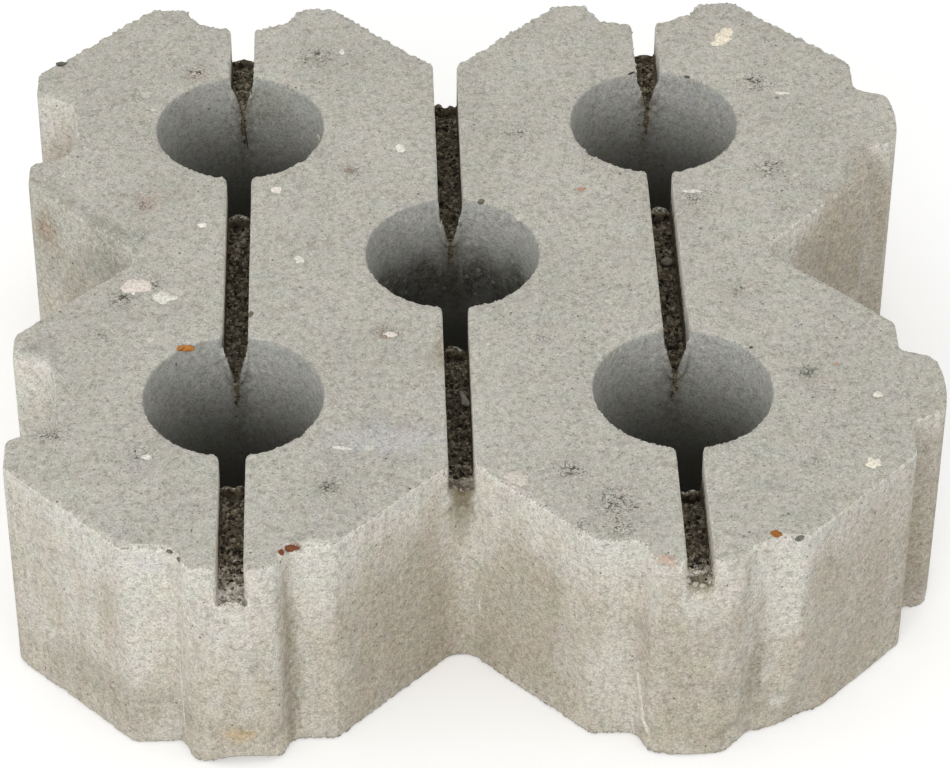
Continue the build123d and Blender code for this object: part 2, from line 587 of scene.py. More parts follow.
# %% [markdown]
# A shallow bite is missing from the foot of the front left nose. The lowest centimetre of the nose
# is squeezed upwards there by an arch, deepest at the face and running out under the stone.

# %% The bite in the foot of the front left nose
bite_middle = seen_at((247, 757))[0].x
bite_half_width, bite_height, bite_run, squeezed = 12.5 * mm, 3.6 * mm, 9 * mm, 10 * mm
arch = np.clip(1 - ((places[:, 0] - bite_middle) / bite_half_width) ** 2, 0, 1) ** 0.7
run_out = np.clip(1 - (places[:, 1] - cad_low.y) / bite_run, 0, 1)
lift = bite_height * arch * run_out * np.clip(1 - places[:, 2] / squeezed, 0, 1)
places[:, 2] += lift
places = np.clip(places, cad_low, cad_high)
move_to(block_mesh, places)
print("the bite lifts", int((lift > 0.1 * mm).sum()), "vertices")

# %% [markdown]
# Deep wear folds the mesh over itself here and there. A second remesh melts the folds away. Then
# decimation leaves just under the 200,000 triangles that one piece may have, and keeps most of
# them where the surface bends. What stands out of the box of the true block is laid back on it.

# %% Remesh again, and thin the mesh where it is flat
finer_cell, most_triangles = 0.6 * mm, 197000
block_mesh = remeshed(cast_stone, finer_cell)
thin = cast_stone.modifiers.new("thin", "DECIMATE")
thin.ratio = most_triangles / (2 * len(block_mesh.polygons))
thin.use_collapse_triangulate = True
block_mesh = settled_mesh(cast_stone)
move_to(block_mesh, np.clip(rows_of(block_mesh, "co"), cad_low, cad_high))
block_mesh.name = "cast_stone"
block_mesh.shade_smooth()
print("the cast stone has", len(block_mesh.polygons), "triangles")

# %% [markdown]
# ## What each part of the surface went through
# The finish is one concrete, but each part of the surface was treated in its own way: the top was
# pressed, the sides and the holes were dragged along steel, and the slots hold years of dirt. How
# far each is true is painted on the vertices as an attribute from 0 to 1, so that the material
# can blend them softly. Broad clouds are painted too, because a vertex is near enough for them.

# %% Paint what kind of surface lies where
places = rows_of(block_mesh, "co")
normals = rows_of(block_mesh, "normal")


def paint(name, values):
    """Stores one number for each vertex, which an Attribute node reads by its name."""
    layer = block_mesh.attributes.new(name, "FLOAT", "POINT")
    layer.data.foreach_set("value", values.astype(np.float32))
    print(name, "averages", round(float(values.mean()), 3))


depth = top_z - places[:, 2]
from_axis, behind = from_holes(places)
from_slot = from_slots(places)
open_end = from_open_end(places)
filled = slumped(places)
rows = np.flatnonzero(depth < 5 * mm)
from_arris = np.full(len(places), 1.0)
from_arris[rows] = distances(places[rows], "top")
faces_up = np.where(from_arris < 2.4 * mm, 0.5, ramp(normals[:, 2], 0.3, 0.6))
on_top = faces_up * ramp(depth, 4 * mm, 2.5 * mm)
in_hole = ramp(from_axis, hole_radius + 4.5 * mm, hole_radius + 3.5 * mm)
in_hole = np.maximum(in_hole, np.clip(4 * filled, 0, 1) * (from_slot < half_slot + 1 * mm))
in_hole = in_hole * np.where(on_top > 0.6, 1 - on_top, 1)
open_slot = np.where(behind > 0, ramp(from_axis - hole_radius, 0.5 * mm, 12 * mm), 1)
soil = ramp(from_slot, (1.2 + 4.0 * open_slot) * mm, (0.4 + 4.0 * open_slot) * mm)
soil = soil * ramp(depth, 8 * mm, 13 * mm) * ramp(depth, 34 * mm, 22 * mm)
clean_lip = ramp(from_axis, hole_radius + 2.4 * mm, hole_radius + 0.2 * mm) * (behind < 0)
soil = soil * ramp(filled, 0.65, 0.3) * (1 - 0.45 * clean_lip)
soil = soil * np.where(places[:, 1] < 0, ramp(open_end, 2 * mm, 34 * mm), 1)
drip = ramp(from_slot, 9 * mm, 1 * mm) * 0.5 + ramp(from_slot, 3 * mm, 0.4 * mm) * 0.4
run_off = in_hole * drip * ramp(depth, 56 * mm, 24 * mm) * ramp(depth, 4 * mm, 14 * mm) * (behind > 0)
band = np.where((np.abs(places[:, 0]) > 108 * mm) & (places[:, 1] > -90 * mm), 5 * mm, 11 * mm)
chalky = (1 - in_hole) * ramp(depth, band, 0.1 * band) * ramp(from_slot, 5 * mm, 7 * mm)
chalky = np.clip(chalky * (0.75 + 0.6 * swells(places, 12 * mm, 27)), 0, 0.85)
clouds = 0.5 + 0.5 * swells(places, 34 * mm, 21) + 0.25 * swells(places, 11 * mm, 22)
drags = 0.56 + 0.15 * swells(places, 3.5 * mm, 26, stretch=1.4)
drags += 0.4 * swells(places, 7 * mm, 23, stretch=6)
drags += 0.35 * swells(places, 16 * mm, 24, stretch=1.5)
drags += 0.4 * ramp(depth, 32 * mm, 2 * mm) - 0.15 * ramp(depth, 50 * mm, 85 * mm)
paint("walking_face", on_top)
paint("hole_wall", in_hole)
paint("soil", soil)
paint("run_off", run_off)
paint("chalky", chalky)
paint("clouds", np.clip(clouds, 0, 1))
paint("drags", np.clip(drags, 0, 1))

# %% [markdown]
# Colours are written as a picture editor shows them and turned into the linear values that
# Blender's sockets want.

# %% Hex colours to linear


def linear(hex_colour):
    """An sRGB hex colour such as "#b4afa5" as linear red, green, blue and alpha."""
    channels = [int(hex_colour[i : i + 2], 16) / 255 for i in (1, 3, 5)]
    return [c / 12.92 if c <= 0.04045 else ((c + 0.055) / 1.055) ** 2.4 for c in channels] + [1.0]


# %% [markdown]
# Stains are this stone's own as well, and a few entries are painted shade, as marked below. Each has a
# pixel where the photograph shows its middle, a reach across and a reach upright in millimetres, a strength
# and a colour. Later ones lie over earlier ones, and noise breaks their edges.

# %% Stains and painted shade seen in the photograph
brown, tan, pale, pink, olive = "#b8ad9b", "#d2b78e", "#e6e3d9", "#cbb4a6", "#7d7458"
stains_and_shade = {
    "left of the front notch": ((400, 625), 30, 34, 0.6, brown),
    "foot of the notch": ((455, 650), 22, 20, 0.6, brown),
    "right of the notch": ((525, 620), 24, 40, 0.5, brown),
    "right corner face": ((850, 610), 34, 50, 0.42, brown),
    "front right nose": ((690, 680), 22, 40, 0.5, brown),
    "right nose side": ((925, 520), 24, 60, 0.55, brown),
    "right notch face": ((850, 230), 26, 50, 0.75, brown),
    "left notch face": ((60, 245), 30, 40, 0.6, "#b9b6a8"),
    "right end of it": ((110, 255), 14, 30, 0.6, "#9c9d90"),
    "brown on it": ((48, 232), 6, 10, 0.35, "#a08a70"),
    "foot of the left recess": ((62, 150), 8, 12, 0.3, "#b9ab98"),
    "face of the left nose": ((35, 400), 14, 30, 0.7, "#dad9cf"),
    # Painted shade on a brown stain: the concave roots of the front noses are darker.
    "root of the front left nose": ((291, 660), 4, 50, 0.6, "#9a907c"),
    "root of the front right nose": ((757, 640), 5, 40, 0.6, "#9a907c"),
    "left foot": ((110, 690), 40, 12, 0.4, "#a59a86"),
    # Painted shade: these two darken the middle hole low down.
    "middle hole, low": ((405, 288), 30, 14, 0.7, "#2f2d26"),
    "middle hole, low on the right": ((505, 288), 24, 14, 0.7, "#2f2d26"),
    "back left hole, brown": ((268, 108), 12, 10, 0.4, "#8f897b"),
    "corner face": ((70, 560), 34, 34, 0.1, pale),
    "left of the left nose": ((148, 600), 10, 34, 0.75, pale),
    "right of the left nose": ((312, 580), 9, 26, 0.8, pale),
    "on the left nose": ((205, 610), 12, 26, 0.15, pale),
    "right of the right nose": ((785, 590), 9, 34, 0.75, pale),
    "low on the right nose": ((782, 705), 4, 6, 0.8, pale),
    "left recess": ((30, 385), 9, 16, 0.9, pale),
    "back left recess": ((55, 120), 8, 14, 0.5, pale),
    "bluish band": ((383, 440), 24, 8, 0.5, "#c6c7c8"),
    "tan patch": ((240, 736), 9, 3, 0.8, tan),
    "tan on the left": ((44, 229), 5, 5, 0.5, "#a98a6e"),
    "pink on the back left": ((196, 76), 4, 4, 0.3, pink),
    "pink by the left recess": ((146, 204), 5, 5, 0.6, pink),
    "pink on the right": ((826, 380), 5, 4, 0.25, pink),
    "brown spot": ((350, 170), 2, 2, 0.7, "#9a8672"),
    "left of the middle": ((382, 332), 2.5, 3, 0.7, "#a39482"),
    "blue black pits": ((808, 371), 4, 4, 0.3, "#5d646b"),
    "red brown tail": ((296, 544), 2, 1.2, 0.8, "#8d5c45"),
    "pinkish on the nose": ((666, 559), 4, 2.5, 0.6, "#c8a18b"),
    "olive edge": ((440, 350), 2, 12, 0.5, "#8f8663"),
    "dark pebble at the back": ((61, 62), 2.6, 2.6, 0.9, "#60625a"),
    "front left pits": ((328, 486), 4, 3, 0.4, "#6f6c64"),
}


def lay(over, rows, mask, hex_colour):
    """Lays a colour over the rows of the stains and painted shade, as strongly as the mask says."""
    over[rows] = over[rows] * (1 - mask[:, None]) + np.array(linear(hex_colour)) * mask[:, None]


# The stains and the painted shade are laid into one colour and one strength for each vertex.
stain_and_shade_colour = np.zeros((len(places), 4))
for pixel, across_reach, other_reach, strength, colour in stains_and_shade.values():
    centre, facing = seen_at(pixel)
    lies_flat = facing.z > 0.7
    reach = (across_reach, other_reach, 6) if lies_flat else (across_reach, across_reach, other_reach)
    apart = (places - np.array(centre)) / mm / reach
    rows = np.flatnonzero(np.abs(apart).max(axis=1) < 1.6)
    edge = np.linalg.norm(apart[rows], axis=1)
    edge += 0.5 * swells(places[rows], 0.6 * min(across_reach, other_reach) * mm, 25)
    same_face = on_top[rows] > 0.4 if lies_flat else on_top[rows] < 0.6
    lay(stain_and_shade_colour, rows, ramp(edge, 1.25, 0.45) * strength * same_face, colour)
under_slot = (places[:, 0] > -8 * mm) & (places[:, 1] < 0) & (open_end < 14 * mm) & (depth > 8 * mm)
rows = np.flatnonzero(under_slot)
narrower = 0.05 * (depth[rows] - 10 * mm)
mask = ramp(from_slot[rows] + narrower, 5.2 * mm, 3.2 * mm) * ramp(open_end[rows], 14 * mm, 5 * mm)
lowest = np.where(np.abs(places[rows, 0]) < 8 * mm, 20 * mm, 17 * mm)
mask *= ramp(depth[rows], lowest, 0.6 * lowest) * (0.7 + 0.5 * swells(places[rows], 3 * mm, 28))
lay(stain_and_shade_colour, rows, np.clip(mask, 0, 0.8), olive)
strength = np.maximum(stain_and_shade_colour[:, 3:], 1e-6)
stain_and_shade_colour[:, :3] = stain_and_shade_colour[:, :3] / strength
layer = block_mesh.attributes.new("stain_and_shade", "FLOAT_COLOR", "POINT")
layer.data.foreach_set("color", stain_and_shade_colour.astype(np.float32).ravel())
print(len(stains_and_shade), "stains painted")

# %% [markdown]
# Where pits cluster, and on the crumbled mix at the front ends of the slots, the material is to show
# painted shade in the pits and in the gaps between coarse grains. How far it does so is painted too.

# %% Paint how pitted the skin is
pitted = np.zeros(len(places))
for pixel, reach in pit_clusters.values():
    apart = far_from(places, seen_at(pixel)[0])
    pitted = np.maximum(pitted, min(1, reach / 6.5) * near(apart, 0.8 * reach * mm))
lowest = np.select([np.abs(places[:, 0]) < 8 * mm, places[:, 0] > 0], [16 * mm, 13 * mm], 19 * mm)
at_heap = ramp(from_slot, 5 * mm, 4 * mm) * ramp(open_end, 12 * mm, 6 * mm)
at_heap *= ramp(depth, lowest, 0.7 * lowest)
pitted = np.maximum(pitted, 0.8 * at_heap * (places[:, 1] < 0))
paint("pitted", pitted)

# %% [markdown]
# A material reads best as a list of what it is made of, so one function adds a node with its
# settings and its links. Each input is a number, a hex colour, a list, or what feeds it. The
# settings that come again and again have names.

# %% Start a material, and add a node to it


def bare_material(name):
    """A new material, and its node tree with nothing in it."""
    material = bpy.data.materials.new(name)
    material.use_nodes = True
    material.node_tree.nodes.clear()
    return material, material.node_tree


def add(tree, kind, settings=None, **inputs):
    """A new node. Inputs are named like its sockets, or _0 and _1 by their place."""
    node = tree.nodes.new("ShaderNode" + kind)
    for name, value in (settings or {}).items():
        setattr(node, name, value)
    for name, value in inputs.items():
        words = name.replace("_", " ").strip()
        if words.isdigit():
            socket = node.inputs[int(words)]
        else:
            socket = next(s for s in node.inputs if s.enabled and s.name == words)
        if isinstance(value, bpy.types.Node):
            value = next(s for s in value.outputs if s.enabled)
        if isinstance(value, bpy.types.NodeSocket):
            tree.links.new(value, socket)
        else:
            socket.default_value = linear(value) if isinstance(value, str) else value
    return node


in_colour = {"data_type": "RGBA"}
times = {"operation": "MULTIPLY"}
clamped = {"operation": "MULTIPLY", "use_clamp": True}
scaled = {"operation": "MULTIPLY_ADD"}
sized = {"operation": "SCALE"}

# %% [markdown]
# ## The concrete
# Dry-cast concrete is sand, grit and just enough cement paste to hold them, pressed hard. To the
# eye it is a matt grey skin of fine grains, some dark and some pale, with pinholes between them.
# The coordinates are turned into millimetres first, so that one over a grain's size is its scale.
# A Voronoi texture's cells are the grains of sand. Its colour is three random numbers for each
# grain: one shades it, one picks the dark ones and one picks the pale ones.

# %% Grain that all surfaces share
concrete, tree = bare_material("dry_cast_concrete")
in_metres = add(tree, "TexCoord").outputs["Object"]
place = add(tree, "VectorMath", sized, _0=in_metres, Scale=1000)
painted = ("walking_face", "hole_wall", "soil", "run_off", "pitted", "chalky", "clouds", "drags")
walking_face, hole_wall, soil, run_off, pitted, chalky, clouds, soft_drags = (
    add(tree, "Attribute", {"attribute_name": name}).outputs["Fac"] for name in painted
)

sand_size = 0.46
sand = add(tree, "TexVoronoi", Vector=place, Scale=1 / sand_size)
sand_channels = add(tree, "SeparateColor", Color=sand.outputs["Color"]).outputs
grit = add(tree, "TexNoise", Vector=place, Scale=1 / 2.3, Detail=3, Roughness=0.75)
grit_channels = add(tree, "SeparateColor", Color=grit.outputs["Color"]).outputs
drawn_out = add(tree, "VectorMath", times, _0=place, _1=(1, 1, 0.12))
fine_drags = add(tree, "TexNoise", Vector=drawn_out, Scale=1 / 1.5, Detail=2, Roughness=0.65)
print("the shared grain has", len(tree.nodes), "nodes")

# %% [markdown]
# The sides were pressed against a steel mould and dragged along it as it was lifted. That gives
# them a paler skin of fines, with upright streaks. Where the skin was thin, the brown of the sand
# shows. The walls of the holes are greyer, because the cores that shaped them were rubbed clean.
# The stone's own stains, and the painted shade listed with them, lie in the skin, under the grains.

# %% Skins of the top, of the sides and of the holes, and their stains and painted shade
top_skin = add(tree, "Mix", in_colour, Factor=clouds, A="#bcb9ae", B="#c9c6bb")
side_skin = add(tree, "Mix", in_colour, Factor=soft_drags, A="#c6bcaa", B="#e2ded4")
side_skin = add(tree, "Mix", in_colour, Factor=chalky, A=side_skin, B="#e2dfd5")
drag_shade = add(tree, "MapRange", Value=fine_drags, From_Min=0.3, From_Max=0.7, To_Min=0.94, To_Max=1.06)
side_skin = add(tree, "VectorMath", sized, _0=side_skin, Scale=drag_shade)
skin = add(tree, "Mix", in_colour, Factor=hole_wall, A=side_skin, B="#bcbcb6")
axes = add(tree, "SeparateXYZ", Vector=place).outputs
height = axes["Z"]
near_top = add(tree, "MapRange", Value=height, From_Min=87.1, From_Max=87.6, To_Min=-0.4, To_Max=0.4)
either = add(tree, "Math", {"operation": "ADD"}, _0=walking_face, _1=near_top)
crisp = add(tree, "MapRange", Value=either, From_Min=0.42, From_Max=0.58)
skin = add(tree, "Mix", in_colour, Factor=crisp, A=skin, B=top_skin)
# The stains, with the painted shade low in the middle hole and in the roots of the front noses.
stain_and_shade = add(tree, "Attribute", {"attribute_name": "stain_and_shade"})
green = grit_channels["Green"]
uneven = add(tree, "MapRange", Value=green, From_Min=0.35, From_Max=0.65, To_Min=0.6, To_Max=1.3)
strength = add(tree, "Math", clamped, _0=stain_and_shade.outputs["Alpha"], _1=uneven)
skin = add(tree, "Mix", in_colour, Factor=strength, A=skin, B=stain_and_shade.outputs["Color"])

# %% [markdown]
# No patch of real concrete has quite the hue of the next. A coarse noise has three channels, and
# each makes its own colour a little stronger or weaker.

# %% Patches of faint hue
patches = add(tree, "TexNoise", Vector=place, Scale=1 / 8, Detail=1, Roughness=0.5)
patches = patches.outputs["Color"]
hue = add(tree, "VectorMath", scaled, _0=patches, _1=(0.1, 0.08, 0.12), _2=(0.95, 0.96, 0.94))
skin = add(tree, "VectorMath", times, _0=skin, _1=hue)

# %% Grains over the skins
darkest = add(tree, "MapRange", Value=walking_face, To_Min=0.77, To_Max=0.83)
palest = add(tree, "MapRange", Value=walking_face, To_Min=1.23, To_Max=1.17)
sand_shade = add(tree, "MapRange", Value=sand_channels["Red"], To_Min=darkest, To_Max=palest)
grit_shade = add(tree, "MapRange", Value=grit, From_Min=0.3, From_Max=0.7, To_Min=0.93, To_Max=1.07)
shade = add(tree, "Math", times, _0=sand_shade, _1=grit_shade)
skin = add(tree, "VectorMath", sized, _0=skin, Scale=shade)
flecks = add(tree, "MapRange", Value=grit_channels["Blue"], From_Min=0.66, From_Max=0.7, To_Max=0.5)
skin = add(tree, "Mix", in_colour, Factor=flecks, A=skin, B="#dedacd")
flecks = add(tree, "MapRange", Value=sand_channels["Blue"], From_Min=0.93, From_Max=1, To_Max=0.55)
skin = add(tree, "Mix", in_colour, Factor=flecks, A=skin, B="#e4e1d6")
plain_share = add(tree, "MapRange", Value=walking_face, To_Min=0.03, To_Max=0.055)
peppered = add(tree, "MapRange", Value=pitted, To_Min=plain_share, To_Max=0.17)
under = add(tree, "Math", {"operation": "SUBTRACT"}, _0=peppered, _1=sand_channels["Green"])
dark = add(tree, "MapRange", Value=under, From_Min=0, From_Max=0.05, To_Max=0.65)
skin = add(tree, "Mix", in_colour, Factor=dark, A=skin, B="#635f55")

# %% [markdown]
# Coarser grains are few. In a Voronoi texture of wider cells, a rare cell is a pinhole, painted as a dark
# dot of shade, and another rare one is a pale pebble. Each is a dot in the middle of its cell, its edge
# broken by the grit.

# %% Pinholes as dots of painted shade, and small pebbles, one in many cells
wide_cells = add(tree, "TexVoronoi", Vector=place, Scale=1 / 1.9)
wide_channels = add(tree, "SeparateColor", Color=wide_cells.outputs["Color"]).outputs
ragged = add(tree, "Math", scaled, _0=grit, _1=0.5, _2=wide_cells.outputs["Distance"])
dot = add(tree, "MapRange", Value=ragged, From_Min=0.5, From_Max=0.42)
rare = add(tree, "MapRange", Value=wide_channels["Red"], From_Min=0.03, From_Max=0.02, To_Max=0.85)
mask = add(tree, "Math", times, _0=dot, _1=rare)
# Painted shade: a pinhole is a dark dot, with no hollow in the mesh.
skin = add(tree, "Mix", in_colour, Factor=mask, A=skin, B="#57534a")
dot = add(tree, "MapRange", Value=ragged, From_Min=0.75, From_Max=0.6)
rare = add(tree, "MapRange", Value=wide_channels["Blue"], From_Min=0.93, From_Max=0.95, To_Max=0.6)
mask = add(tree, "Math", times, _0=dot, _1=rare)
skin = add(tree, "Mix", in_colour, Factor=mask, A=skin, B="#dcd9ce")
# Painted shade darkens the pits where they cluster, between the grit.
limit = add(tree, "MapRange", Value=pitted, To_Min=0.27, To_Max=0.45)
under = add(tree, "Math", {"operation": "SUBTRACT"}, _0=limit, _1=grit_channels["Green"])
pits = add(tree, "MapRange", Value=under, From_Min=0, From_Max=0.02, To_Max=0.9)
skin = add(tree, "Mix", in_colour, Factor=pits, A=skin, B="#45423a")

# %% [markdown]
# Where the skin is broken, coarse grains stand a little apart, and the gaps between them are painted dark
# as shade. The edges of a Voronoi texture's cells are such gaps. The grit noise bends them and leaves some
# out.

# %% Painted shade in the gaps between the coarse grains of a pitted patch
bent = add(tree, "VectorMath", scaled, _0=grit.outputs["Color"], _1=(1.6, 1.6, 1.6), _2=place)
coarse_grains = add(tree, "TexVoronoi", {"feature": "DISTANCE_TO_EDGE"}, Vector=bent, Scale=1 / 2.6)
gap = add(tree, "MapRange", Value=coarse_grains, From_Min=0.13, From_Max=0.07)
in_pieces = add(tree, "MapRange", Value=grit_channels["Blue"], From_Min=0.5, From_Max=0.53, To_Max=0.9)
crack = add(tree, "Math", times, _0=gap, _1=in_pieces)
crack = add(tree, "Math", times, _0=crack, _1=pitted)
# Painted shade: the gaps are dark.
skin = add(tree, "Mix", in_colour, Factor=crack, A=skin, B="#45423a")

# %% [markdown]
# Dirt lies over the grains. Every hole darkens on its way down, partly with damp and partly as painted
# shade for the depth of the hole. Rain that leaves a slot runs down the wall of the hole, or down the face
# in front, and leaves an olive streak. The floors of the slots were never rubbed by steel: they are the
# open mix, brown with soil, and the soil breaks off in crumbs.

# %% The stain on the face under the front end of the middle slot
front_end = slot_ends[slot_lines[1]][0] / mm
off_middle = add(tree, "Math", {"operation": "ABSOLUTE"}, _0=axes["X"])
wobbly = add(tree, "Math", scaled, _0=grit_channels["Red"], _1=3, _2=off_middle)
narrow = add(tree, "MapRange", Value=wobbly, From_Min=6, From_Max=3.4)
in_front = add(tree, "MapRange", Value=axes["Y"], From_Min=front_end + 3, From_Max=front_end + 1)
low_down = add(tree, "MapRange", Value=height, From_Min=50, From_Max=68, To_Max=0.8)
mask = add(tree, "Math", times, _0=narrow, _1=in_front)
mask = add(tree, "Math", times, _0=mask, _1=low_down)
skin = add(tree, "Mix", in_colour, Factor=mask, A=skin, B="#857b60")

# %% Damp and painted shade down the holes, run-off and soil
softly = {"interpolation_type": "SMOOTHERSTEP"}
# Painted shade with some damp: the hole walls grow darker towards the bottom.
deep = add(tree, "MapRange", softly, Value=height, From_Min=86, From_Max=16, To_Max=0.9)
damp_and_shade = add(tree, "Math", times, _0=deep, _1=hole_wall)
skin = add(tree, "Mix", in_colour, Factor=damp_and_shade, A=skin, B="#47463d")
crumb_tone = add(tree, "MapRange", Value=grit_channels["Blue"], From_Min=0.36, From_Max=0.64)
broken = add(tree, "Math", scaled, _0=crumb_tone, _1=-0.9, _2=run_off)
streak = add(tree, "MapRange", Value=broken, From_Min=-0.5, From_Max=0.6, To_Max=0.7)
skin = add(tree, "Mix", in_colour, Factor=streak, A=skin, B="#625c49")
earth = add(tree, "Mix", in_colour, Factor=crumb_tone, A="#2a2419", B="#90856f")
broken = add(tree, "Math", scaled, _0=sand_channels["Red"], _1=-0.45, _2=soil)
broken = add(tree, "Math", scaled, _0=crumb_tone, _1=-0.35, _2=broken)
covered = add(tree, "MapRange", Value=broken, From_Min=-0.05, From_Max=0.05)
skin = add(tree, "Mix", in_colour, Factor=covered, A=skin, B=earth)

# %% [markdown]
# The finest relief is a bump: sand grains a fifth of a millimetre high. Coarser relief is in the
# mesh. Old concrete has no gloss, so the roughness is high and the specular low.

# %% Relief and shader
relief = add(tree, "Math", scaled, _0=sand.outputs["Distance"], _1=-0.35, _2=grit)
bump = add(tree, "Bump", Height=relief, Strength=0.8, Distance=0.35 * mm)
shader = add(tree, "BsdfPrincipled", Base_Color=skin, Roughness=0.93, Specular_IOR_Level=0.25, Normal=bump)
add(tree, "OutputMaterial", Surface=shader)
block_mesh.materials.clear()
block_mesh.materials.append(concrete)
print("the concrete has", len(tree.nodes), "nodes")

# %% [markdown]
# ## Crumbs and bare stones
# Where the skin is broken, single grains show. They are real pieces here: crumbs on the floors of the
# slots, grit along the crumbled arrises, and the bare stones that the photograph shows in the walking face,
# with two dark slivers of painted shade among them. A crumb is a sphere of twenty faces, stretched and
# turned by chance, and a bare stone is a finer one. Each has a colour of its own, which one material reads.
# All random numbers come from one seeded source.

# %% Washed grains: each has its own colour, speckled a little
washed, tree = bare_material("washed_grit")
in_metres = add(tree, "TexCoord").outputs["Object"]
place = add(tree, "VectorMath", sized, _0=in_metres, Scale=1000)
own_colour = add(tree, "Attribute", {"attribute_name": "own_colour"}).outputs["Color"]
specks = add(tree, "TexNoise", Vector=place, Scale=1 / 0.9, Detail=2, Roughness=0.7)
shade = add(tree, "MapRange", Value=specks, From_Min=0.3, From_Max=0.7, To_Min=0.76, To_Max=1.2)
grains = add(tree, "TexVoronoi", Vector=place, Scale=1 / sand_size)
grain_tone = add(tree, "SeparateColor", Color=grains.outputs["Color"]).outputs["Red"]
grain_tone = add(tree, "MapRange", Value=grain_tone, To_Min=0.84, To_Max=1.14)
shade = add(tree, "Math", times, _0=shade, _1=grain_tone)
skin = add(tree, "VectorMath", sized, _0=own_colour, Scale=shade)
bump = add(tree, "Bump", Height=specks, Strength=0.6, Distance=0.3 * mm)
shader = add(tree, "BsdfPrincipled", Base_Color=skin, Roughness=0.85, Specular_IOR_Level=0.3, Normal=bump)
add(tree, "OutputMaterial", Surface=shader)

# %% A heap of grains as one piece
chance = random.Random(7)


def between(colour_a, colour_b, t):
    """A linear colour on the way from one hex colour to another."""
    return [a + (b - a) * t for a, b in zip(linear(colour_a), linear(colour_b))]


def chance_turn():
    """A random turn about a random axis."""
    axis = Vector((chance.gauss(0, 1), chance.gauss(0, 1), chance.gauss(0, 1)))
    return Matrix.Rotation(chance.uniform(0, math.tau), 4, axis)


def grain_piece(name, grains, subdivisions, lumpy=0):
    """One object of many grains. Each grain is its matrix and its linear colour."""
    heap = bmesh.new()
    batch_mesh = bpy.data.meshes.new("batch")
    for start in range(0, len(grains), 40):
        batch = bmesh.new()
        for matrix, colour in grains[start : start + 40]:
            bmesh.ops.create_icosphere(batch, subdivisions=subdivisions, radius=1, matrix=matrix)
        batch.to_mesh(batch_mesh)
        batch.free()
        heap.from_mesh(batch_mesh)
    bpy.data.meshes.remove(batch_mesh)
    mesh = bpy.data.meshes.new(name)
    heap.to_mesh(mesh)
    heap.free()
    vertices_each = len(mesh.vertices) // len(grains)
    layer = mesh.attributes.new("own_colour", "FLOAT_COLOR", "POINT")
    colours = np.repeat([colour for matrix, colour in grains], vertices_each, axis=0)
    layer.data.foreach_set("color", colours.astype(np.float32).ravel())
    if lumpy:
        middles = np.repeat([list(matrix.translation) for matrix, colour in grains], vertices_each, axis=0)
        places = rows_of(mesh, "co")
        thick_ways = [list(matrix.to_3x3().col[2].normalized()) for matrix, colour in grains]
        thick_ways = np.repeat(thick_ways, vertices_each, axis=0)
        outward = places - middles
        upward = (outward * thick_ways).sum(axis=1, keepdims=True) * thick_ways
        growth = 1 + lumpy * (swells(places, 2.2 * mm, 30) + 0.6 * swells(places, 0.9 * mm, 31))
        places = np.clip(middles + upward + (outward - upward) * growth[:, None], cad_low, cad_high)
        move_to(mesh, places)
        mesh.shade_smooth()
    mesh.materials.append(washed)
    print(name, "has", len(grains), "grains and", len(mesh.polygons), "faces")
    return placed(name, mesh)


# %% [markdown]
# A crumb lies where a ray from above meets the floor of a slot. The rays start at places drawn by
# chance, and those that miss a floor are left out. Near the front ends rain has washed the crumbs,
# so they are paler there.

# %% Crumbs on the floors of the slots
bpy.context.view_layer.update()
crumbs_wanted = 4000
down = Vector((0, 0, -1))
crumbs = []
while len(crumbs) < crumbs_wanted:
    x = chance.choice(slot_lines) + chance.uniform(-4, 4) * mm
    y = chance.uniform(cad_low.y, cad_high.y)
    hit, spot = cast_stone.ray_cast(Vector((x, y, top_z - 6 * mm)), down)[:2]
    row = np.array([spot])
    end = from_open_end(row)[0]
    clear = slumped(row)[0] < 0.12 and from_holes(row)[0][0] > hole_radius + 2.5 * mm
    if not hit or spot.z < top_z - 28 * mm or end < 1 * mm or not clear:
        continue
    size = chance.uniform(0.3, 0.7) * chance.choice((1, 1, 1, 1, 1.8)) * mm
    washed_pale = spot.y < 0 and chance.uniform(0, 24) * mm > end
    tone = chance.random() ** 1.3
    colour = between("#8a8272", "#dcd6c9", tone) if washed_pale else between("#1f1b13", "#c2b8a1", tone)
    stretch = Matrix.Diagonal((size * chance.uniform(0.8, 1.6), size, size * chance.uniform(0.5, 0.9), 1))
    room = Vector((1.6 * size,) * 3)
    centre = np.clip(spot - Vector((0, 0, 0.1 * size)), cad_low + room, cad_high - room)
    crumbs.append((Matrix.Translation(Vector(centre)) @ chance_turn() @ stretch, colour))
slot_crumbs = grain_piece("slot_crumbs", crumbs, 1)

# %% [markdown]
# The arrises are rough with grit that the blows laid bare. Each grain sits in the worn surface,
# two thirds sunk, and is kept within the box of the true block.

# %% Grit along the arrises
arris_grit = []
grit_tried = {"top": 3600, "base": 1500}
spots = [(kind, chance.choice(arris_samples[kind])) for kind in grit_tried for i in range(grit_tried[kind])]
for kind, sample in spots:
    spot, normal = cast_stone.closest_point_on_mesh(sample)[1:3]
    row = np.array([spot])
    reach, behind = from_holes(row)
    far_rim = reach[0] < hole_radius + 4 * mm and behind[0] > -10 * mm
    on_flank = abs(spot.x) > 118 * mm and spot.y < 100 * mm
    if (from_slots(row)[0] < 6 * mm or far_rim or on_flank) and chance.random() < 0.85:
        continue
    size = chance.uniform(0.3, 0.8 if kind == "base" or spot.y > 100 * mm else 0.55) * mm
    room = Vector((1.3 * size,) * 3)
    centre = np.clip(spot - normal * 0.4 * size, cad_low + room, cad_high - room)
    tone = chance.random()
    colour = between("#a39f95", "#e0dcd0", tone) if kind == "top" else between("#857f73", "#cdc7b8", tone)
    stretch = Matrix.Diagonal((size * chance.uniform(0.8, 1.3), size, size * chance.uniform(0.7, 1), 1))
    arris_grit.append((Matrix.Translation(Vector(centre)) @ chance_turn() @ stretch, colour))
arris_grains = grain_piece("arris_grit", arris_grit, 1)
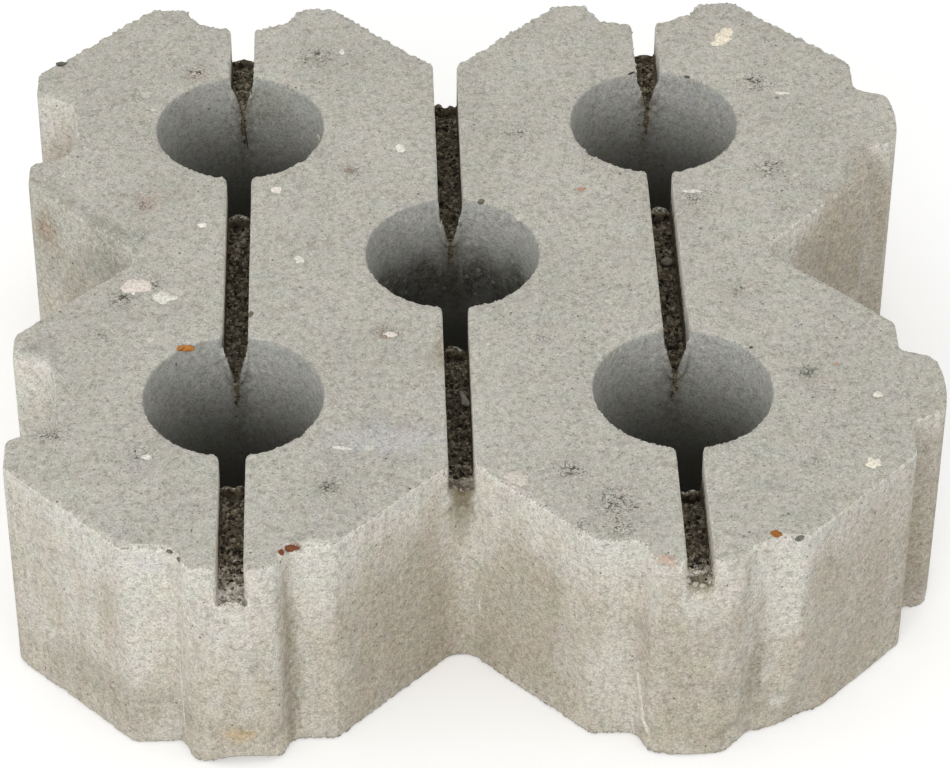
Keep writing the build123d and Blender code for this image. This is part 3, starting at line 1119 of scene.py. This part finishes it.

# %% [markdown]
# A bare stone is a flat ball, sunk so deep in its bed that only its top shows, and pushed out of
# round by noise. In the slots the stones lie on the floor and are rounder.

# %% The bare stones and the slivers of painted shade, flush with the face they lie in
bare = []
for pixel, wide, long, colour in stones_and_shade_seen.values():
    spot, facing = seen_at(pixel)
    in_slot = spot.z < top_z - 8 * mm and from_slots(np.array([spot]))[0] < 4 * mm
    thick = 1.6 * mm if in_slot else min(1.0, 0.6 * min(wide, long)) * mm
    raised = 0.3 if in_slot else -1.0
    lie = facing.to_track_quat("Z", "Y").to_matrix().to_4x4()
    seat = Matrix.Translation(spot + facing * raised * thick) @ lie
    turn = Matrix.Rotation(chance.uniform(-0.3, 0.3), 4, "Z")
    flat_ball = Matrix.Diagonal((0.55 * wide * mm, 0.55 * long * mm, thick, 1))
    bare.append((seat @ turn @ flat_ball, linear(colour)))

# %% [markdown]
# Streaks of lime on the sides and a crack in a hole are narrower than the triangles of the flat
# faces, so paint on the vertices can't carry them. Each is a long thin ball, half sunk.

# %% Thin upright lines, by the pixels of both ends, half their width in millimetres and their colour
lines_seen = {
    "lime on the front left nose": ((179, 640), (186, 738), 0.45, "#dcd9ce"),
    "lime right of the notch": ((479, 599), (480, 615), 0.4, "#dcd9ce"),
    "lime left of the right nose, upper part": ((638, 672), (642, 704), 0.8, "#e4e0d4"),
    "its lower part": ((641, 698), (646, 738), 1.2, "#e8e4d8"),
    "lime beside it": ((632, 718), (634, 730), 0.6, "#e4e0d4"),
    "crack in the back left hole": ((244, 122), (248, 150), 0.28, "#45423a"),
}
for start, end, half_width, colour in lines_seen.values():
    upper, lower = (cast_stone.closest_point_on_mesh(seen_at(pixel)[0])[1] for pixel in (start, end))
    along = upper - lower
    lie = along.to_track_quat("Z", "Y").to_matrix().to_4x4()
    thin_ball = Matrix.Diagonal((half_width * mm, half_width * mm, along.length / 2, 1))
    bare.append((Matrix.Translation((upper + lower) / 2) @ lie @ thin_ball, linear(colour)))
bare_stones_and_shade = grain_piece("bare_stones_and_shade", bare, 3, lumpy=0.6)

# %% [markdown]
# The four pieces are one stone, so all ride with its one body, and the imported block is hidden.

# %% Every piece rides with the stone
for piece in (cast_stone, slot_crumbs, arris_grains, bare_stones_and_shade):
    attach(piece, "root")
    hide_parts("paving_stone")

# %% [markdown]
# ## Floor and light
# The photograph is a cut-out on white, in the soft light of a large studio. The floor is white to
# the camera, with a faint glow so that only the stone's own shadow shows on it. For the light that
# bounces it is a plain grey. One large soft box stands low on the left, in front of the stone.

# %% Floor and light
world = bpy.data.worlds.new("soft sky")
bpy.context.scene.world = world
world.use_nodes = True
world.node_tree.nodes["Background"].inputs["Color"].default_value = (1, 1, 1, 1)
world.node_tree.nodes["Background"].inputs["Strength"].default_value = 0.82

sheet = bmesh.new()
bmesh.ops.create_grid(sheet, x_segments=1, y_segments=1, size=3)
floor_mesh = bpy.data.meshes.new("floor")
sheet.to_mesh(floor_mesh)
sheet.free()
floor = placed("floor", floor_mesh)
floor_paint, tree = bare_material("white_studio_floor")
rays = add(tree, "LightPath").outputs
seen = add(tree, "Math", {"operation": "MAXIMUM"}, _0=rays["Is Camera Ray"], _1=rays["Is Glossy Ray"])
seen = add(tree, "Math", {"operation": "MAXIMUM"}, _0=seen, _1=rays["Is Transmission Ray"])
dull = add(tree, "BsdfDiffuse", Color="#c0c0be")
white = add(tree, "BsdfDiffuse", Color="#f2f2f1")
glow = add(tree, "Emission", Color="#ffffff", Strength=0.3)
lit = add(tree, "AddShader", _0=white, _1=glow)
either = add(tree, "MixShader", _0=seen, _1=dull, _2=lit)
add(tree, "OutputMaterial", Surface=either)
floor_mesh.materials.append(floor_paint)

key_data = bpy.data.lights.new("front_soft_box", "AREA")
key_data.shape = "SQUARE"
key_data.size = 1.2
key_data.energy = 16
key = placed("front_soft_box", key_data)
key_place = Vector((-0.8, -2.2, 1.0))
key.matrix_world = Matrix.Translation(key_place) @ key_place.to_track_quat("Z", "Y").to_matrix().to_4x4()
bpy.context.scene.view_settings.view_transform = "Standard"
